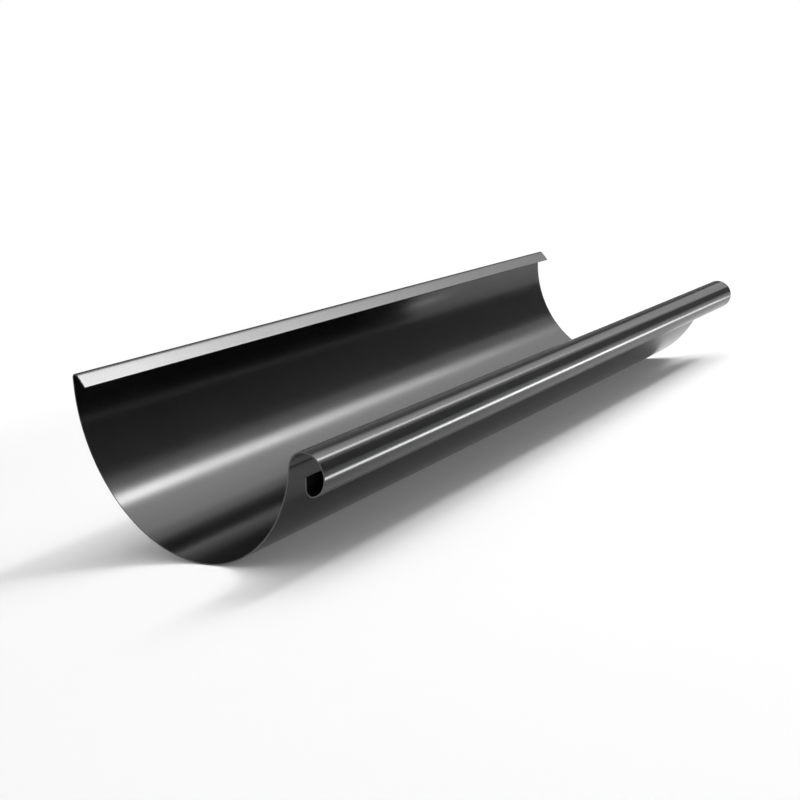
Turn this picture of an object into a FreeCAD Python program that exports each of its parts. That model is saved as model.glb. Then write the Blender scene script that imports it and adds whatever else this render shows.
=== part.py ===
"""A length of half-round eaves gutter, roll formed from one strip of steel sheet.

The section is drawn upright, looking along the gutter, with the trough's axis at the sketch's origin, across
as X and up as Y. One strip of even thickness makes all of it. From the back edge to the front edge it is a
flat lip that slopes down into the trough, a tight fold, a short straight back wall, the half-round trough,
and then, with the curvature reversed, a round bead that rolls outwards over the top and down. The bead ends
in a small curl and a short upright hook inside it, and leaves a slot between the hook and the trough's wall.

The gutter is stored as it lies open side up on a level floor. The bead is the heavier edge, so the trough
rolls towards it until the centre of mass is below the trough's axis.
"""

import FreeCAD, Part
import math
import os
import Sketcher
from FreeCAD import Placement, Rotation, Vector

# Driving dimensions, in millimetres and degrees. Radii are outside ones, and each slope is below the level.
SIZES = {
    "sheet_thickness": 0.6,
    "section_length": 398.5,
    "trough_outer_radius": 63.5,
    "back_rise": 6.0,
    "back_fold_outer_radius": 2.2,
    "back_lip_slope": 44.0,
    "back_lip_flat": 6.3,
    "bead_outer_radius": 8.8,
    "bead_centre_drop": 8.4,
    "curl_outer_radius": 2.8,
    "hook_setback": 0.7,
    "hook_flat": 4.6,
}
SHEET = "sizes"
NODE = "gutter_sheet"

# The numbers by which a sketch knows an element's points, and its own origin and across axis.
START, END, CENTRE = range(1, 4)
AXIS = -1
ORIGIN = (AXIS, START)

# The strip's elements in order from the back edge, each with its first and last point. An arc is always drawn
# counter-clockwise, and the strip runs clockwise round the bead and the curl.
FORWARDS = (START, END)
BACKWARDS = (END, START)
STRIP = {
    "lip": FORWARDS,
    "fold": FORWARDS,
    "wall": FORWARDS,
    "trough": FORWARDS,
    "bead": BACKWARDS,
    "curl": BACKWARDS,
    "hook": FORWARDS,
}
ARCS = ("fold", "trough", "bead", "curl")


def make_sizes(doc):
    """The spreadsheet of driving dimensions, one alias to a row."""
    sheet = doc.addObject("Spreadsheet::Sheet", SHEET)
    for row, (alias, value) in enumerate(SIZES.items(), start=1):
        sheet.set(f"A{row}", alias)
        sheet.set(f"B{row}", str(value))
        sheet.setAlias(f"B{row}", alias)
    doc.recompute()
    return sheet


def polar(centre, radius, degrees):
    """The point at a radius and an angle from a centre, in the sketch."""
    angle = math.radians(degrees)
    return centre + Vector(radius * math.cos(angle), radius * math.sin(angle), 0)


def arc(centre, radius, start, end):
    """An arc of a circle, counter-clockwise from start to end, in degrees."""
    circle = Part.Circle(centre, Vector(0, 0, 1), radius)
    return Part.ArcOfCircle(circle, math.radians(start), math.radians(end))


def strip_face(sizes, outer):
    """One face of the strip as named lines and arcs, from the back edge to the front edge.

    The outer face is outside the trough and inside the bead. The inner face is inside the trough and outside
    the bead, so the bead and the curl are larger on it and the fold and the trough are smaller.
    """
    skin = sizes.sheet_thickness
    trough_radius = sizes.trough_outer_radius - (0 if outer else skin)
    fold_radius = sizes.back_fold_outer_radius - (0 if outer else skin)
    bead_radius = sizes.bead_outer_radius - (skin if outer else 0)
    curl_radius = sizes.curl_outer_radius - (skin if outer else 0)

    trough_centre = Vector(0, 0, 0)
    fold_centre = Vector(
        sizes.back_fold_outer_radius - sizes.trough_outer_radius,
        sizes.back_rise - sizes.back_fold_outer_radius,
        0,
    )
    bead_reach = trough_radius + bead_radius
    bead_angle = -math.degrees(math.asin(sizes.bead_centre_drop / bead_reach))
    bead_centre = polar(trough_centre, bead_reach, bead_angle)

    curl_reach = bead_radius - curl_radius
    curl_across = sizes.curl_outer_radius - sizes.hook_setback
    curl_angle = -math.degrees(math.acos(curl_across / curl_reach))
    curl_centre = polar(bead_centre, curl_reach, curl_angle)

    lip_normal = 90 - sizes.back_lip_slope
    lip_root = polar(fold_centre, fold_radius, lip_normal)
    lip_edge = polar(lip_root, sizes.back_lip_flat, -sizes.back_lip_slope)
    wall_top = polar(fold_centre, fold_radius, 180)
    wall_foot = polar(trough_centre, trough_radius, 180)
    hook_foot = polar(curl_centre, curl_radius, 180)
    hook_edge = hook_foot + Vector(0, sizes.hook_flat, 0)
    return {
        "lip": Part.LineSegment(lip_edge, lip_root),
        "fold": arc(fold_centre, fold_radius, lip_normal, 180),
        "wall": Part.LineSegment(wall_top, wall_foot),
        "trough": arc(trough_centre, trough_radius, 180, 360 + bead_angle),
        "bead": arc(bead_centre, bead_radius, curl_angle, 180 + bead_angle),
        "curl": arc(curl_centre, curl_radius, -180, curl_angle),
        "hook": Part.LineSegment(hook_foot, hook_edge),
    }


def point(element, which):
    """The start or end point of a line or an arc."""
    return element.StartPoint if which == START else element.EndPoint


def constrain(sketch, *constraint):
    """Adds one constraint and gives its number."""
    return sketch.addConstraint(Sketcher.Constraint(*constraint))


def drive(sketch, name, expression, *constraint):
    """Adds a named constraint whose value follows the spreadsheet."""
    sketch.renameConstraint(constrain(sketch, *constraint), name)
    sketch.setExpression(f"Constraints.{name}", expression)


def draw_face(sketch, face):
    """Draws one face of the strip, each element tangent to the next, and gives the elements' numbers."""
    number = {name: sketch.addGeometry(element, False) for name, element in face.items()}
    names = list(STRIP)
    for name, following in zip(names, names[1:]):
        last = STRIP[name][-1]
        first = STRIP[following][0]
        constrain(sketch, "Tangent", number[name], last, number[following], first)
    constrain(sketch, "Vertical", number["wall"])
    constrain(sketch, "Vertical", number["hook"])
    return number


def close_edge(sketch, name, which, faces, numbers):
    """Joins the two faces with a square cut edge across an end of the strip, and gives its number."""
    cut = sketch.addGeometry(Part.LineSegment(*[point(face[name], which) for face in faces]), False)
    for cut_end, number in zip((START, END), numbers):
        constrain(sketch, "Coincident", cut, cut_end, number[name], which)
    constrain(sketch, "Perpendicular", cut, numbers[0][name])
    return cut


def draw_section(sketch, sizes):
    """Draws the closed outline of the strip and fixes it with the driving dimensions."""
    faces = [strip_face(sizes, outer) for outer in (True, False)]
    numbers = [draw_face(sketch, face) for face in faces]
    outer, inner = numbers
    back_edge = close_edge(sketch, "lip", STRIP["lip"][0], faces, numbers)
    close_edge(sketch, "hook", STRIP["hook"][-1], faces, numbers)

    constrain(sketch, "Coincident", outer["trough"], CENTRE, *ORIGIN)
    for name in ARCS:
        constrain(sketch, "Coincident", outer[name], CENTRE, inner[name], CENTRE)
    constrain(sketch, "Parallel", outer["lip"], inner["lip"])

    drive(sketch, "skin", f"{SHEET}.sheet_thickness", "Distance", back_edge, sizes.sheet_thickness)
    drive(sketch, "trough_radius", f"{SHEET}.trough_outer_radius",
          "Radius", outer["trough"], sizes.trough_outer_radius)
    drive(sketch, "fold_radius", f"{SHEET}.back_fold_outer_radius",
          "Radius", outer["fold"], sizes.back_fold_outer_radius)
    drive(sketch, "fold_height", f"{SHEET}.back_rise - {SHEET}.back_fold_outer_radius",
          "DistanceY", *ORIGIN, outer["fold"], CENTRE, sizes.back_rise - sizes.back_fold_outer_radius)
    drive(sketch, "lip_slope", f"{SHEET}.back_lip_slope * 1 deg",
          "Angle", outer["lip"], END, *ORIGIN, math.radians(sizes.back_lip_slope))
    drive(sketch, "lip_length", f"{SHEET}.back_lip_flat", "Distance", outer["lip"], sizes.back_lip_flat)
    drive(sketch, "bead_radius", f"{SHEET}.bead_outer_radius",
          "Radius", inner["bead"], sizes.bead_outer_radius)
    drive(sketch, "bead_drop", f"{SHEET}.bead_centre_drop",
          "DistanceY", inner["bead"], CENTRE, *ORIGIN, sizes.bead_centre_drop)
    drive(sketch, "curl_radius", f"{SHEET}.curl_outer_radius",
          "Radius", inner["curl"], sizes.curl_outer_radius)
    drive(sketch, "setback", f"{SHEET}.hook_setback",
          "DistanceX", inner["hook"], START, inner["bead"], CENTRE, sizes.hook_setback)
    drive(sketch, "hook_length", f"{SHEET}.hook_flat", "Distance", inner["hook"], sizes.hook_flat)


def make_gutter(doc, sizes):
    """The body: the section drawn on the upright plane across the gutter, padded half its length each way."""
    body = doc.addObject("PartDesign::Body", NODE)
    body.Label = NODE
    across = next(plane for plane in body.Origin.OriginFeatures if plane.Role == "XZ_Plane")
    sketch = body.newObject("Sketcher::SketchObject", "section")
    sketch.AttachmentSupport = (across, [""])
    sketch.MapMode = "FlatFace"
    draw_section(sketch, sizes)
    doc.recompute()
    if not sketch.FullyConstrained:
        raise SystemExit("the section is not fully constrained")

    length = body.newObject("PartDesign::Pad", "length")
    length.Profile = sketch
    length.SideType = "Symmetric"
    length.setExpression("Length", f"{SHEET}.section_length")
    doc.recompute()
    return body


def lay_on_floor(body):
    """Rolls the gutter to where it comes to rest and stands it on Z = 0 over the middle of its footprint."""
    mass_centre = body.Shape.Solids[0].CenterOfMass
    rest_roll = math.degrees(math.atan2(mass_centre.x, -mass_centre.z))
    body.Placement = Placement(Vector(0, 0, 0), Rotation(Vector(0, 1, 0), rest_roll))
    body.Document.recompute()
    box = body.Shape.optimalBoundingBox(False)
    body.Placement.Base = Vector(-box.Center.x, -box.Center.y, -box.ZMin)
    body.Document.recompute()


def write_parts(doc, parts):
    """Checks every object, then writes each part's STEP file."""
    for item in doc.Objects:
        if "Invalid" in item.State or "Error" in item.State:
            raise SystemExit(f"{item.Label} did not build")
    for part in parts:
        if part.Shape.isNull() or not part.Shape.isValid():
            raise SystemExit(f"{part.Label} has no valid shape")
    os.makedirs("parts", exist_ok=True)
    for part in parts:
        part.Shape.exportStep(f"parts/{part.Label}.step")


doc = FreeCAD.newDocument("gutter_section")
sizes = make_sizes(doc)
gutter = make_gutter(doc, sizes)
lay_on_floor(gutter)
write_parts(doc, [gutter])
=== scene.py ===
"""A length of half-round eaves gutter in black coated sheet steel, lying open side up on a pale floor.

The gutter is one strip of sheet. Across the gutter it is a chain of straight and round runs, and the
strip's middle line is worked out from them: a flat back lip, a tight fold, a short wall, the half-round
trough, the rolled front bead, a curl and a hook. The line is carried along the gutter and given the
sheet's thickness.
"""

import math

import bpy
import mathutils
import numpy as np
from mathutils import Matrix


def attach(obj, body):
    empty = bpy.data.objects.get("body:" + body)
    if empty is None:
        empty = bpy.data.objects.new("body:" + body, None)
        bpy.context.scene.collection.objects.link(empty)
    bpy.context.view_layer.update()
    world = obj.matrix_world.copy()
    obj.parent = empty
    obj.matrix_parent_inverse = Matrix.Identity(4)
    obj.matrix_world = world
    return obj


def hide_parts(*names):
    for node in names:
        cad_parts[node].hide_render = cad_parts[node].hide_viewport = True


# The gutter's sizes, in metres and degrees, as its section is drawn upright. Radii are outside ones, and
# the lip's slope is below the level.
SHEET_THICKNESS = 0.0006
GUTTER_LENGTH = 0.3985
TROUGH_RADIUS = 0.0635
BACK_RISE = 0.006
FOLD_RADIUS = 0.0022
LIP_SLOPE = 44.0
LIP_FLAT = 0.0063
BEAD_RADIUS = 0.0088
BEAD_DROP = 0.0084
CURL_RADIUS = 0.0028
HOOK_SETBACK = 0.0007
HOOK_FLAT = 0.0046

# The roll towards the bead at which the gutter lies on a floor and the place of the trough's axis above the
# floor then. The part's source works the roll out from the centre of mass, and the place from the middle of
# the footprint. Then the round that shearing leaves on an edge that turns by more than the sharp angle.
REST_ROLL = 13.4193
TROUGH_AXIS = (-0.006307, TROUGH_RADIUS)
SHEARED_ROUND = 0.00007
SHARP_ANGLE = 50.0

# The steps in which the strip's runs are drawn, in metres, and the number of stations along the gutter.
BROAD_STEP = 0.0008
BEAD_STEP = 0.00025
CURL_STEP = 0.00012
FOLD_STEP = 0.00011
STATIONS = 41

# The height that the lamps over the gutter are aimed at, the angle by which they sink as they go along it,
# and the place along it that they turn about.
AIM_HEIGHT = 0.04
LAMP_TURN = 4.0
LAMP_PIVOT = 1.0

# The places along the gutter where the grey cards start and end.
CARD_START = -0.7
CARD_END = 4.5

# How far the floor reaches each way, the distances from its middle at which it starts and ends its fade
# into the backdrop, and the share of white added to it before that. The fill light is a share of white too.
FLOOR_REACH = 6.0
FADE_START = 0.30
FADE_END = 0.75
FLOOR_LIFT = 0.12
FILL_LIGHT = 0.40


def polar(centre, radius, degrees):
    """The point or points at a radius and an angle from a centre: centre + radius (cos, sin)."""
    angle = np.radians(np.asarray(degrees, dtype=float))
    return centre + radius * np.stack([np.cos(angle), np.sin(angle)], axis=-1)


def round_run(centre, radius, first, last, step):
    """A round run of the strip from the first angle to the last, in even steps about as long as step."""
    count = int(abs(math.radians(last - first)) * radius / step) + 2
    return polar(centre, radius, np.linspace(first, last, count))


def straight_run(first, last, step):
    """A straight run of the strip: first + (last - first) t, in even steps about as long as step."""
    count = int(np.linalg.norm(last - first) / step) + 2
    return first + (last - first) * np.linspace(0.0, 1.0, count)[:, None]


def strip_line():
    """The strip's middle line across the gutter, from back edge to front edge, on the floor at rest.

    Each run starts where the last one ends, with the same tangent: the bead's centre is one trough radius
    and one bead radius from the trough's axis, and the curl's centre is inside the bead by one radius less
    the other. The whole line is then turned by the roll: x cos + z sin, z cos - x sin.
    """
    half = SHEET_THICKNESS / 2
    trough = TROUGH_RADIUS - half
    fold = FOLD_RADIUS - half
    bead = BEAD_RADIUS - half
    curl = CURL_RADIUS - half

    axis = np.zeros(2)
    fold_centre = np.array([FOLD_RADIUS - TROUGH_RADIUS, BACK_RISE - FOLD_RADIUS])
    bead_angle = -math.degrees(math.asin(BEAD_DROP / (trough + bead)))
    bead_centre = polar(axis, trough + bead, bead_angle)
    curl_angle = -math.degrees(math.acos((CURL_RADIUS - HOOK_SETBACK) / (bead - curl)))
    curl_centre = polar(bead_centre, bead - curl, curl_angle)
    lip_root = polar(fold_centre, fold, 90 - LIP_SLOPE)
    hook_foot = polar(curl_centre, curl, 180)

    runs = (
        straight_run(polar(lip_root, LIP_FLAT, -LIP_SLOPE), lip_root, BROAD_STEP),
        round_run(fold_centre, fold, 90 - LIP_SLOPE, 180, FOLD_STEP),
        straight_run(polar(fold_centre, fold, 180), polar(axis, trough, 180), BROAD_STEP),
        round_run(axis, trough, 180, 360 + bead_angle, BROAD_STEP),
        round_run(bead_centre, bead, 180 + bead_angle, curl_angle, BEAD_STEP),
        round_run(curl_centre, curl, curl_angle, -180, CURL_STEP),
        straight_run(hook_foot, hook_foot + np.array([0.0, HOOK_FLAT]), BROAD_STEP),
    )
    line = np.concatenate([run[:-1] for run in runs] + [runs[-1][-1:]])
    roll = math.radians(REST_ROLL)
    turn = np.array([[math.cos(roll), -math.sin(roll)], [math.sin(roll), math.cos(roll)]])
    return line @ turn + np.array(TROUGH_AXIS)


def in_scene(name, data):
    """A new object with the given data, in the scene."""
    thing = bpy.data.objects.new(name, data)
    bpy.context.scene.collection.objects.link(thing)
    return thing


def carried_along(name, line, stations):
    """A surface of two parameters: the line across the gutter at each station along it, (x, station, z).

    Its own map holds the distance along the strip and the distance along the gutter, in metres.
    """
    rows = len(line)
    columns = len(stations)
    spots = np.empty((rows, columns, 3))
    spots[:, :, 0] = line[:, None, 0]
    spots[:, :, 1] = stations[None, :]
    spots[:, :, 2] = line[:, None, 1]
    grid = np.arange(rows * columns).reshape(rows, columns)
    corners = [grid[:-1, :-1], grid[:-1, 1:], grid[1:, 1:], grid[1:, :-1]]
    faces = np.stack(corners, axis=-1).reshape(-1, 4)

    mesh = bpy.data.meshes.new(name)
    mesh.from_pydata(spots.reshape(-1, 3).tolist(), [], faces.tolist())
    mesh.polygons.foreach_set("use_smooth", np.ones(len(faces), dtype=bool))
    travel = np.concatenate([[0.0], np.cumsum(np.linalg.norm(np.diff(line, axis=0), axis=1))])
    across = travel[:, None]
    along = stations[None, :] + GUTTER_LENGTH / 2
    flat = np.stack(np.broadcast_arrays(across, along), axis=-1)
    layer = mesh.uv_layers.new(name="strip")
    layer.uv.foreach_set("vector", flat.reshape(-1, 2)[faces.ravel()].ravel())
    mesh.validate()
    return in_scene(name, mesh)


def make_gutter():
    """The gutter: the strip's line carried along it, thickened evenly, its sheared edges eased a little."""
    stations = np.linspace(-GUTTER_LENGTH / 2, GUTTER_LENGTH / 2, STATIONS)
    gutter = carried_along("rolled_gutter_sheet", strip_line(), stations)
    thickness = gutter.modifiers.new("sheet thickness", "SOLIDIFY")
    thickness.thickness = SHEET_THICKNESS
    thickness.offset = 0.0
    thickness.use_even_offset = True
    thickness.material_offset_rim = 1
    eased = gutter.modifiers.new("sheared edges", "BEVEL")
    eased.width = SHEARED_ROUND
    eased.segments = 2
    eased.limit_method = "ANGLE"
    eased.angle_limit = math.radians(SHARP_ANGLE)
    eased.harden_normals = True
    gutter.data.materials.append(black_coating())
    gutter.data.materials.append(cut_steel())
    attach(gutter, "root")
    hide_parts("gutter_sheet")


class Shader:
    """The nodes of a material, a lamp or the world, added and joined with few words."""

    def __init__(self, owner):
        owner.use_nodes = True
        self.tree = owner.node_tree
        self.tree.nodes.clear()

    def add(self, kind, settings=None, **inputs):
        """Adds a node with its settings, and with inputs that are values or outputs of other nodes."""
        node = self.tree.nodes.new(kind)
        for key, value in (settings or {}).items():
            setattr(node, key, value)
        for key, value in inputs.items():
            self.put(node, key, value)
        return node

    def put(self, node, key, value):
        """Sets one input, found by its name with underscores for spaces, or by its number after an n."""
        if key[0] == "n" and key[1:].isdigit():
            socket = node.inputs[int(key[1:])]
        else:
            socket = node.inputs[key.replace("_", " ")]
        if isinstance(value, bpy.types.NodeSocket):
            self.tree.links.new(value, socket)
        else:
            socket.default_value = value

    def maths(self, operation, *values):
        """The result of one operation on two or three values."""
        inputs = {f"n{number}": value for number, value in enumerate(values)}
        return self.add("ShaderNodeMath", {"operation": operation}, **inputs).outputs[0]

    def remap(self, value, low, high, first, last, curve="LINEAR"):
        """Goes from first to last, and no further, as the value goes from low to high."""
        return self.add("ShaderNodeMapRange", {"interpolation_type": curve},
                        Value=value, n1=low, n2=high, n3=first, n4=last).outputs[0]

    def noise(self, place, dimensions, scale, detail, roughness=0.5):
        """Soft random patches, about as many to a metre as scale says."""
        return self.add("ShaderNodeTexNoise", {"noise_dimensions": dimensions},
                        Vector=place, Scale=scale, Detail=detail, Roughness=roughness).outputs[0]

    def blend(self, share, first, last):
        """The colour that is a share of the way from the first to the last."""
        return self.add("ShaderNodeMix", {"data_type": "RGBA"}, n0=share, n6=first, n7=last).outputs[2]


def black_coating():
    """Black coil coating: semi-gloss, with fine lines along the gutter and a very fine orange peel."""
    material = bpy.data.materials.new("black_coil_coating")
    shader = Shader(material)
    place = shader.add("ShaderNodeUVMap", {"uv_map": "strip"}).outputs["UV"]
    peel = shader.noise(place, "2D", scale=900.0, detail=2.0)
    drawn = shader.add("ShaderNodeMapping", Vector=place, Scale=(1400.0, 14.0, 1.0)).outputs[0]
    lines = shader.noise(drawn, "2D", scale=1.0, detail=3.0, roughness=0.55)
    cloud = shader.noise(place, "2D", scale=28.0, detail=4.0, roughness=0.6)

    tone = shader.remap(cloud, 0.3, 0.7, 0.0, 1.0)
    colour = shader.blend(tone, (0.0056, 0.0056, 0.006, 1), (0.0072, 0.0072, 0.0076, 1))
    gloss = shader.remap(shader.maths("ADD", lines, cloud), 0.7, 1.3, 0.15, 0.19)
    height = shader.maths("MULTIPLY_ADD", lines, 0.4, peel)
    bump = shader.add("ShaderNodeBump", Height=height, Distance=0.0000015, Strength=1.0)
    surface = shader.add("ShaderNodeBsdfPrincipled", Base_Color=colour, Roughness=gloss,
                         Normal=bump.outputs[0], IOR=1.45, Metallic=0.0)
    shader.add("ShaderNodeOutputMaterial", Surface=surface.outputs[0])
    return material


def cut_steel():
    """The bare cut edge: steel torn by the shears, with random patches and painted shade in its colour."""
    material = bpy.data.materials.new("sheared_steel_edge_painted_dark")
    shader = Shader(material)
    place = shader.add("ShaderNodeTexCoord").outputs["Object"]
    torn = shader.noise(place, "3D", scale=5000.0, detail=2.0)
    patch = shader.noise(place, "3D", scale=260.0, detail=3.0)
    # Painted shade: the steel's colour is kept far darker than bare steel, so that it reflects a dim
    # surround; the patches are a random tone of its own.
    colour = shader.blend(patch, (0.06, 0.06, 0.061, 1), (0.13, 0.13, 0.132, 1))
    gloss = shader.remap(torn, 0.3, 0.7, 0.38, 0.55)
    bump = shader.add("ShaderNodeBump", Height=torn, Distance=0.00001, Strength=0.5)
    surface = shader.add("ShaderNodeBsdfPrincipled", Base_Color=colour, Roughness=gloss,
                         Normal=bump.outputs[0], Metallic=1.0)
    shader.add("ShaderNodeOutputMaterial", Surface=surface.outputs[0])
    return material


def seen_directly(shader):
    """1 for what the camera sees directly or in gloss or through glass, and 0 for the light it gives."""
    rays = shader.add("ShaderNodeLightPath").outputs
    either = shader.maths("MAXIMUM", rays["Is Camera Ray"], rays["Is Glossy Ray"])
    return shader.maths("MAXIMUM", either, rays["Is Transmission Ray"])


def flat_sheet(name, corners):
    """A flat sheet with four corners, and the shader of a new material on it."""
    mesh = bpy.data.meshes.new(name)
    mesh.from_pydata(corners, [], [(0, 1, 2, 3)])
    material = bpy.data.materials.new(name)
    mesh.materials.append(material)
    return in_scene(name, mesh), Shader(material)


def make_floor():
    """A pale floor that takes the gutter's shadow and fades into the white backdrop away from it."""
    reach = FLOOR_REACH
    floor, shader = flat_sheet("pale_floor", [(-reach, -reach, 0.0), (reach, -reach, 0.0),
                                              (reach, reach, 0.0), (-reach, reach, 0.0)])
    place = shader.add("ShaderNodeTexCoord").outputs["Object"]
    away = shader.add("ShaderNodeVectorMath", {"operation": "LENGTH"}, n0=place).outputs["Value"]
    far = shader.remap(away, FADE_START, FADE_END, 0.0, 1.0, "SMOOTHSTEP")
    lit = shader.add("ShaderNodeBsdfDiffuse", Color=(0.86, 0.86, 0.86, 1)).outputs[0]
    seen = seen_directly(shader)
    lift = shader.maths("MULTIPLY", seen, FLOOR_LIFT)
    glow = shader.add("ShaderNodeEmission", Strength=lift).outputs[0]
    near = shader.add("ShaderNodeAddShader", n0=lit, n1=glow).outputs[0]
    plain = shader.add("ShaderNodeEmission", Strength=seen).outputs[0]
    outer = shader.add("ShaderNodeMixShader", n0=seen, n1=lit, n2=plain).outputs[0]
    whole = shader.add("ShaderNodeMixShader", n0=far, n1=near, n2=outer).outputs[0]
    shader.add("ShaderNodeOutputMaterial", Surface=whole)


def make_surround():
    """An even white all round: white where it is seen, and a softer fill light on the gutter."""
    world = bpy.data.worlds.new("white_surround")
    bpy.context.scene.world = world
    shader = Shader(world)
    strength = shader.remap(seen_directly(shader), 0.0, 1.0, FILL_LIGHT, 1.0)
    white = shader.add("ShaderNodeBackground", Color=(1, 1, 1, 1), Strength=strength)
    shader.add("ShaderNodeOutputWorld", Surface=white.outputs[0])


def graded(shader, travel, stops):
    """A grey that goes through the stops, each a place and a grey.

    travel is 0 at the first stop's place and 1 at the last one's.
    """
    first = stops[0][0]
    reach = stops[-1][0] - first
    ramp = shader.add("ShaderNodeValToRGB", Fac=travel)
    for _ in stops[2:]:
        ramp.color_ramp.elements.new(0.5)
    for element, (place, grey) in zip(ramp.color_ramp.elements, stops):
        element.position = (place - first) / reach
        element.color = (grey, grey, grey, 1)
    return ramp.outputs[0]


def long_lamp(name, spot, rise, turn, width, across, along):
    """A soft lamp that lies along the gutter and faces it, brighter in some parts than in others.

    spot is the middle of its width at the pivot, and rise the angle above the level that it is seen at.
    turn is the angle in its own plane by which it sinks as it goes along. along gives its brightness, where
    1 is white, at places along the gutter in metres. across gives the share of it at places across the
    lamp, from 0 at the upper edge to 1 at the lower edge.
    """
    start = along[0][0]
    end = along[-1][0]
    brightest = max(strength for _, strength in along)
    data = bpy.data.lights.new(name, "AREA")
    data.shape = "RECTANGLE"
    data.size = width
    data.size_y = end - start
    data.energy = math.pi * width * (end - start) * brightest

    shader = Shader(data)
    spread = shader.add("ShaderNodeNewGeometry").outputs["Parametric"]
    travel = shader.add("ShaderNodeSeparateXYZ", Vector=spread).outputs
    shares = [(place, strength / brightest) for place, strength in along]
    both = shader.maths("MULTIPLY", graded(shader, travel["X"], across),
                        graded(shader, travel["Y"], shares))
    glow = shader.add("ShaderNodeEmission", Strength=both)
    shader.add("ShaderNodeOutputLight", Surface=glow.outputs[0])

    angle = math.radians(rise)
    sink = math.radians(turn)
    back = np.array([math.cos(angle), 0.0, math.sin(angle)])
    level = np.array([0.0, 1.0, 0.0])
    onward = level * math.cos(sink) + np.cross(level, back) * math.sin(sink)
    pivot = np.array([spot[0], LAMP_PIVOT, spot[1]])
    middle = pivot + onward * ((start + end) / 2 - LAMP_PIVOT)
    place = np.eye(4)
    place[:3, :] = np.stack([np.cross(onward, back), onward, back, middle], axis=1)
    lamp = in_scene(name, data)
    lamp.matrix_world = mathutils.Matrix(place.tolist())
    lamp.visible_camera = False


def overhead_lamp(name, distance, rise, width, across, along):
    """A long lamp over the gutter, at a distance from it and an angle above the level."""
    angle = math.radians(rise)
    spot = (distance * math.cos(angle), AIM_HEIGHT + distance * math.sin(angle))
    long_lamp(name, spot, rise, LAMP_TURN, width, across, along)


def make_lamps():
    """Two broad soft lamps over the gutter, a narrow one beside them, and one low down beside the bead.

    The two broad ones hang at different distances, because the renderer leaves one of two lamps out where
    both lie in the same plane. The strengths started from a least-squares fit to the reflections in the
    photograph, and the shares across roughly from it too. All of them were then changed.
    """
    overhead_lamp(
        "broad_lamp", distance=1.6, rise=84.0, width=1.36,
        across=((0.0, 0.07), (0.15, 0.19), (0.28, 0.27), (0.4, 0.38),
                (0.5, 0.62), (0.6, 0.84), (0.76, 1.0), (1.0, 1.0)),
        along=((-1.5, 0.8), (0.0, 1.3), (0.85, 3.4), (1.45, 2.9), (2.3, 1.78), (3.6, 0.47), (4.5, 0.1)),
    )
    overhead_lamp(
        "short_lamp", distance=1.65, rise=84.0, width=1.4,
        across=((0.0, 0.22), (0.15, 0.3), (0.28, 0.38), (0.4, 0.32),
                (0.5, 0.2), (0.6, 0.1), (0.76, 0.0), (1.0, 0.0)),
        along=((-1.5, 0.8), (0.0, 1.3), (0.85, 3.4), (1.28, 3.1), (1.6, 0.0)),
    )
    overhead_lamp(
        "narrow_lamp", distance=1.6, rise=53.6, width=0.62,
        across=((0.0, 0.1), (0.07, 1.0), (0.37, 1.0), (0.45, 0.07), (1.0, 0.03)),
        along=((0.55, 20.0), (0.85, 27.0), (1.1, 18.5), (1.35, 14.0), (1.75, 8.3),
               (2.15, 4.7), (2.7, 1.6), (3.6, 0.9), (4.4, 0.7)),
    )
    long_lamp(
        "low_lamp", spot=(0.118, 0.002), rise=-90.0, turn=0.0, width=0.022,
        across=((0.0, 1.0), (1.0, 1.0)),
        along=((-0.26, 13.0), (0.0, 14.0), (0.15, 10.0), (0.25, 5.0), (0.34, 4.0)),
    )


def make_card(name, foot, top, height, grey):
    """A grey card along one side of the gutter, for the sheet to reflect, that leans from foot to top.

    The camera doesn't see it, and it throws no shadow.
    """
    card, shader = flat_sheet(name, [(foot, CARD_START, 0.0), (foot, CARD_END, 0.0),
                                     (top, CARD_END, height), (top, CARD_START, height)])
    card.visible_camera = False
    card.visible_shadow = False
    plain = shader.add("ShaderNodeBsdfDiffuse", Color=(grey, grey, grey, 1))
    shader.add("ShaderNodeOutputMaterial", Surface=plain.outputs[0])


def make_cards():
    """Grey cards to the right and the left of the gutter, and a low one nearer on the right."""
    make_card("right_card", foot=1.0, top=1.0, height=0.85, grey=0.29)
    make_card("low_card", foot=0.6, top=0.6, height=0.12, grey=0.27)
    make_card("left_card", foot=-1.0, top=-0.3, height=3.4, grey=0.30)


def make_camera():
    """The camera, at the photograph's viewing angle.

    Its numbers come from a fit to the gutter's ends and long edges in the photograph, turned with the roll.
    """
    data = bpy.data.cameras.new("camera")
    data.sensor_width = 36.0
    data.lens = 45.543
    data.shift_x = 0.00718
    data.shift_y = 0.05977
    camera = in_scene("camera", data)
    camera.location = (0.316162, -0.447711, 0.117077)
    camera.rotation_euler = (1.360087, 0.18532, 0.666935)
    bpy.context.scene.camera = camera


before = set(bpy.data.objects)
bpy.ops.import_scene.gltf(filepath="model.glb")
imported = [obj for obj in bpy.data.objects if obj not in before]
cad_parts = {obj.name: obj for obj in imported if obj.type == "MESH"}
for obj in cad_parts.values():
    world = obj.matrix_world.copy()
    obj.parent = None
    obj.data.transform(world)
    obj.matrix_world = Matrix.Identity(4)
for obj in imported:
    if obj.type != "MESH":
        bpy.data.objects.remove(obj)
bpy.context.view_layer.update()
make_gutter()
make_floor()
make_surround()
make_lamps()
make_cards()
make_camera()
bpy.context.scene.view_settings.view_transform = "Standard"
